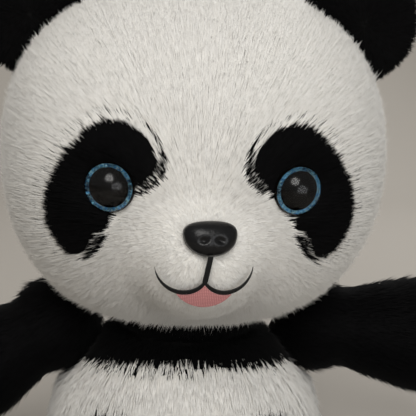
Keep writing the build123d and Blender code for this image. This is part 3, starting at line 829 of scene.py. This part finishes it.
def make_nose():
    """A soft-cornered triangular nose with two nostril dents, over the moulded CAD button."""
    across, upward = nose_directions()
    middle, (half_width, half_height), crown = nose_rim()
    bm = bmesh.new()

    def add_point(u, v, share):
        height = crown - NOSE_PROUD + nose_height(u, v, share)
        return bm.verts.new(middle + across * u * half_width + upward * v * half_height + NOSE_AXIS * height)

    rings = []
    for ring in range(1, NOSE_RINGS + 1):
        share = ring / NOSE_RINGS
        row = []
        for step in range(NOSE_SEGMENTS):
            turn = 2 * math.pi * step / NOSE_SEGMENTS
            u = share * soft_power(math.cos(turn), NOSE_SIDE_POWER) * (1 + NOSE_FLARE * math.sin(turn))
            v = share * soft_power(math.sin(turn), NOSE_TOP_POWER)
            row.append(add_point(u, v, share))
        rings.append(row)
    tip = add_point(0, 0, 0)
    for step in range(NOSE_SEGMENTS):
        following = (step + 1) % NOSE_SEGMENTS
        bm.faces.new((tip, rings[0][step], rings[0][following]))
        for inner, outer in zip(rings, rings[1:]):
            bm.faces.new((inner[step], outer[step], outer[following], inner[following]))
    bm.faces.new(list(reversed(rings[-1])))
    bmesh.ops.recalc_face_normals(bm, faces=bm.faces)
    nose = new_object("nose_cap", bpy.data.meshes.new("nose_cap"))
    replace_mesh(nose, bm)
    nose.data.shade_smooth()
    nose.data.materials.append(GLOSS_BLACK)
    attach(nose, "head")
    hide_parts("nose_button")


CLEAR = clear_material()
GLOSS_BLACK = gloss_material("gloss_black", (0.003, 0.003, 0.0035))
MATTE_BLACK = principled("moulded_black", Base_Color=(0.002, 0.0015, 0.001, 1), Roughness=0.8,
                         Specular_IOR_Level=0.02)
THREAD = woven_material("black_thread", dark=(0.002, 0.002, 0.002), light=(0.009, 0.0095, 0.009), scale=500,
                        shine=0.12)
SATIN = woven_material("pink_satin", dark=(0.36, 0.13, 0.13), light=(0.62, 0.26, 0.255), scale=420, shine=0.4)
WASHER_WHITE = gloss_material("washer_white", (0.75, 0.75, 0.72))
for word in SIDES:
    dress(CLEAR, f"{word}_eye_lens")
    dress(MATTE_BLACK, f"{word}_eye_pupil")
    dress(MATTE_BLACK, f"{word}_eye_backing")
    dress(WASHER_WHITE, f"{word}_eye_washer")
dress(glitter_material(), "left_eye_glitter_ring", "right_eye_glitter_ring")
make_nose()
dress(WASHER_WHITE, "nose_washer")
dress(THREAD, "mouth_embroidery")
dress(SATIN, "tongue_applique")


# ---------------------------------------------------------------- floor, light and camera
FLOOR_REACH = 12.0          # metres, so that the floor's edge is out of every view
BEND_START = 0.9            # metres behind the toy, where the floor starts to curve up
BEND_RADIUS = 0.5
BEND_STEP = 6               # degrees
BACKDROP_TOP = 2.5
CAMERA_DISTANCE = 410 * MM
CAMERA_CENTRE = Vector((0, -20, 192)) * MM      # what the camera would turn round
CAMERA_AIM = Vector((7.6, -24, 170.8)) * MM     # what it looks at, to frame the toy as seen
CAMERA_TURN = (-3.8, 8, 1.8)    # degrees: azimuth, elevation and roll
LENS = 69                       # millimetres, on a 36 mm sensor


def area_light(name, place, target, size, power, colour):
    """A round soft light at a place, turned towards a target."""
    lamp = bpy.data.lights.new(name, "AREA")
    lamp.shape = "DISK"
    lamp.size = size
    lamp.energy = power
    lamp.color = colour
    holder = new_object(name, lamp)
    holder.location = place
    holder.rotation_euler = (Vector(target) - Vector(place)).to_track_quat("-Z", "Y").to_euler()


def make_floor():
    """A pale floor that curves up into a backdrop."""
    outline = [(-FLOOR_REACH, 0.0)]
    for angle in range(0, 91, BEND_STEP):
        turn = math.radians(angle)
        outline.append((BEND_START + BEND_RADIUS * math.sin(turn), BEND_RADIUS * (1 - math.cos(turn))))
    outline.append((BEND_START + BEND_RADIUS, BACKDROP_TOP))
    bm = bmesh.new()
    rows = [[bm.verts.new((x, y, z)) for x in (-FLOOR_REACH, FLOOR_REACH)] for y, z in outline]
    for lower, upper in zip(rows, rows[1:]):
        bm.faces.new((lower[0], lower[1], upper[1], upper[0]))
    floor = new_object("floor", bpy.data.meshes.new("floor"))
    replace_mesh(floor, bm)
    floor.data.shade_smooth()
    floor.data.materials.append(principled("floor", Base_Color=(0.46, 0.43, 0.39, 1), Roughness=0.9))


def make_camera():
    """Seen from a little to the panda's right and from just above, from close by."""
    azimuth, elevation, roll = (math.radians(angle) for angle in CAMERA_TURN)
    back = Vector((math.sin(azimuth) * math.cos(elevation), -math.cos(azimuth) * math.cos(elevation),
                   math.sin(elevation)))
    camera = new_object("camera", bpy.data.cameras.new("camera"))
    camera.location = CAMERA_CENTRE + back * CAMERA_DISTANCE
    facing = (CAMERA_AIM - camera.location).to_track_quat("-Z", "Y")
    camera.rotation_euler = (facing.to_matrix() @ Matrix.Rotation(roll, 3, "Z")).to_euler()
    camera.data.lens = LENS
    camera.data.sensor_width = 36
    camera.data.clip_start = 10 * MM
    scene.camera = camera


make_floor()
make_camera()
area_light("key_light", place=(-0.2, -1.2, 1.15), target=(0, 0, 0.18), size=0.9, power=13.5,
           colour=(1.0, 0.985, 0.96))
area_light("fill_light", place=(0.5, -1.3, 0.25), target=(0, 0, 0.15), size=1.0, power=6,
           colour=(0.97, 0.985, 1.0))
area_light("back_light", place=(0.5, 0.85, 0.95), target=(0, 0, 0.15), size=0.8, power=5,
           colour=(1.0, 1.0, 1.0))
world = bpy.data.worlds.new("room")
world.use_nodes = True
room = world.node_tree.nodes["Background"]
room.inputs["Color"].default_value = (0.55, 0.54, 0.52, 1)
room.inputs["Strength"].default_value = 0.74
scene.world = world
scene.view_settings.view_transform = "Standard"
